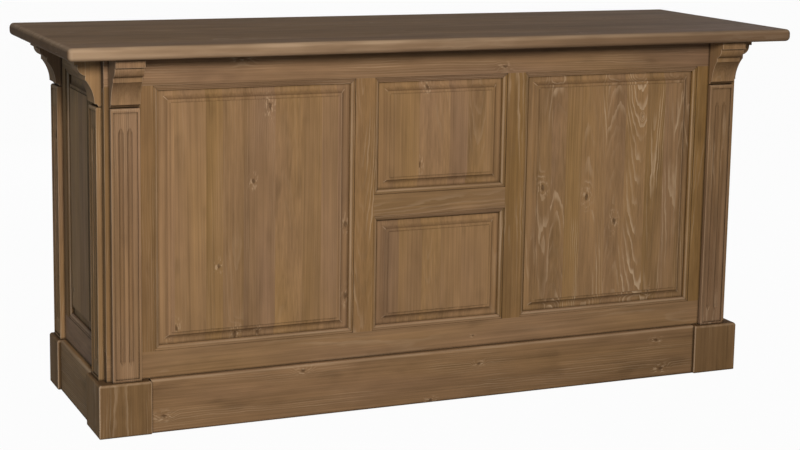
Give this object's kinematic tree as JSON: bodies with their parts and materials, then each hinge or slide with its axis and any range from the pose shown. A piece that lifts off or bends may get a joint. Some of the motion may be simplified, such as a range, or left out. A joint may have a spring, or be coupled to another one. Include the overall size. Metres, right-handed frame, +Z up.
{
  "type": "bar counter",
  "caption": "Free-standing panelled pine bar counter with fluted pilasters and brackets under an overhanging top, and open shelves and a drawer on the service side.",
  "frame": {"origin": "on the floor, under the middle of the top", "axes": "+X along the counter, to the right as a customer faces it; +Y towards the service side; +Z up"},
  "size_m": [2.2, 0.75, 1.07],
  "materials": {
    "top": "waxed, brushed pine",
    "frames": "waxed, brushed pine",
    "panels": "waxed, brushed pine",
    "trim": "waxed, brushed pine",
    "plinth": "waxed, brushed pine",
    "carcass": "planed pine, thin wax",
    "drawer": "planed pine, thin wax",
    "knob": "turned pine, waxed",
    "screws": "zinc plated"
  },
  "bodies": {
    "counter": {"back_top_rail": "carcass", "bottom_board": "carcass", "corner_battens": "carcass", "counter_top": "top", "divider_left": "carcass", "divider_right": "carcass", "drawer_runners": "carcass", "front_bottom_rail": "frames", "front_bracket_left": "trim", "front_bracket_right": "trim", "front_end_stile_left": "frames", "front_end_stile_right": "frames", "front_mid_rail": "frames", "front_mid_stile_left": "frames", "front_mid_stile_right": "frames", "front_panel_centre_lower": "panels", "front_panel_centre_upper": "panels", "front_panel_left": "panels", "front_panel_right": "panels", "front_pilaster_left": "trim", "front_pilaster_right": "trim", "front_top_rail": "frames", "plinth_block_back_left": "plinth", "plinth_block_back_right": "plinth", "plinth_block_front_left": "plinth", "plinth_block_front_right": "plinth", "plinth_board_back": "plinth", "plinth_board_front": "plinth", "plinth_board_left": "plinth", "plinth_board_right": "plinth", "shelf_bearers": "carcass", "shelf_centre": "carcass", "shelf_left": "carcass", "shelf_right": "carcass", "side_back_stile_left": "frames", "side_back_stile_right": "frames", "side_bottom_rail_left": "frames", "side_bottom_rail_right": "frames", "side_bracket_back_left": "trim", "side_bracket_back_right": "trim", "side_bracket_front_left": "trim", "side_bracket_front_right": "trim", "side_front_stile_left": "frames", "side_front_stile_right": "frames", "side_panel_left": "panels", "side_panel_right": "panels", "side_pilaster_back_left": "trim", "side_pilaster_back_right": "trim", "side_pilaster_front_left": "trim", "side_pilaster_front_right": "trim", "side_top_rail_left": "frames", "side_top_rail_right": "frames", "top_battens": "carcass", "top_screws": "screws"},
    "drawer": {"drawer_back": "drawer", "drawer_bottom": "drawer", "drawer_front": "drawer", "drawer_knob": "knob", "drawer_side_left": "drawer", "drawer_side_right": "drawer"}
  },
  "joints": [
    {"name": "drawer_slide", "type": "slide", "parent": "counter", "child": "drawer", "axis": [0, 1, 0], "range_m": [0, 0.35]}
  ]
}
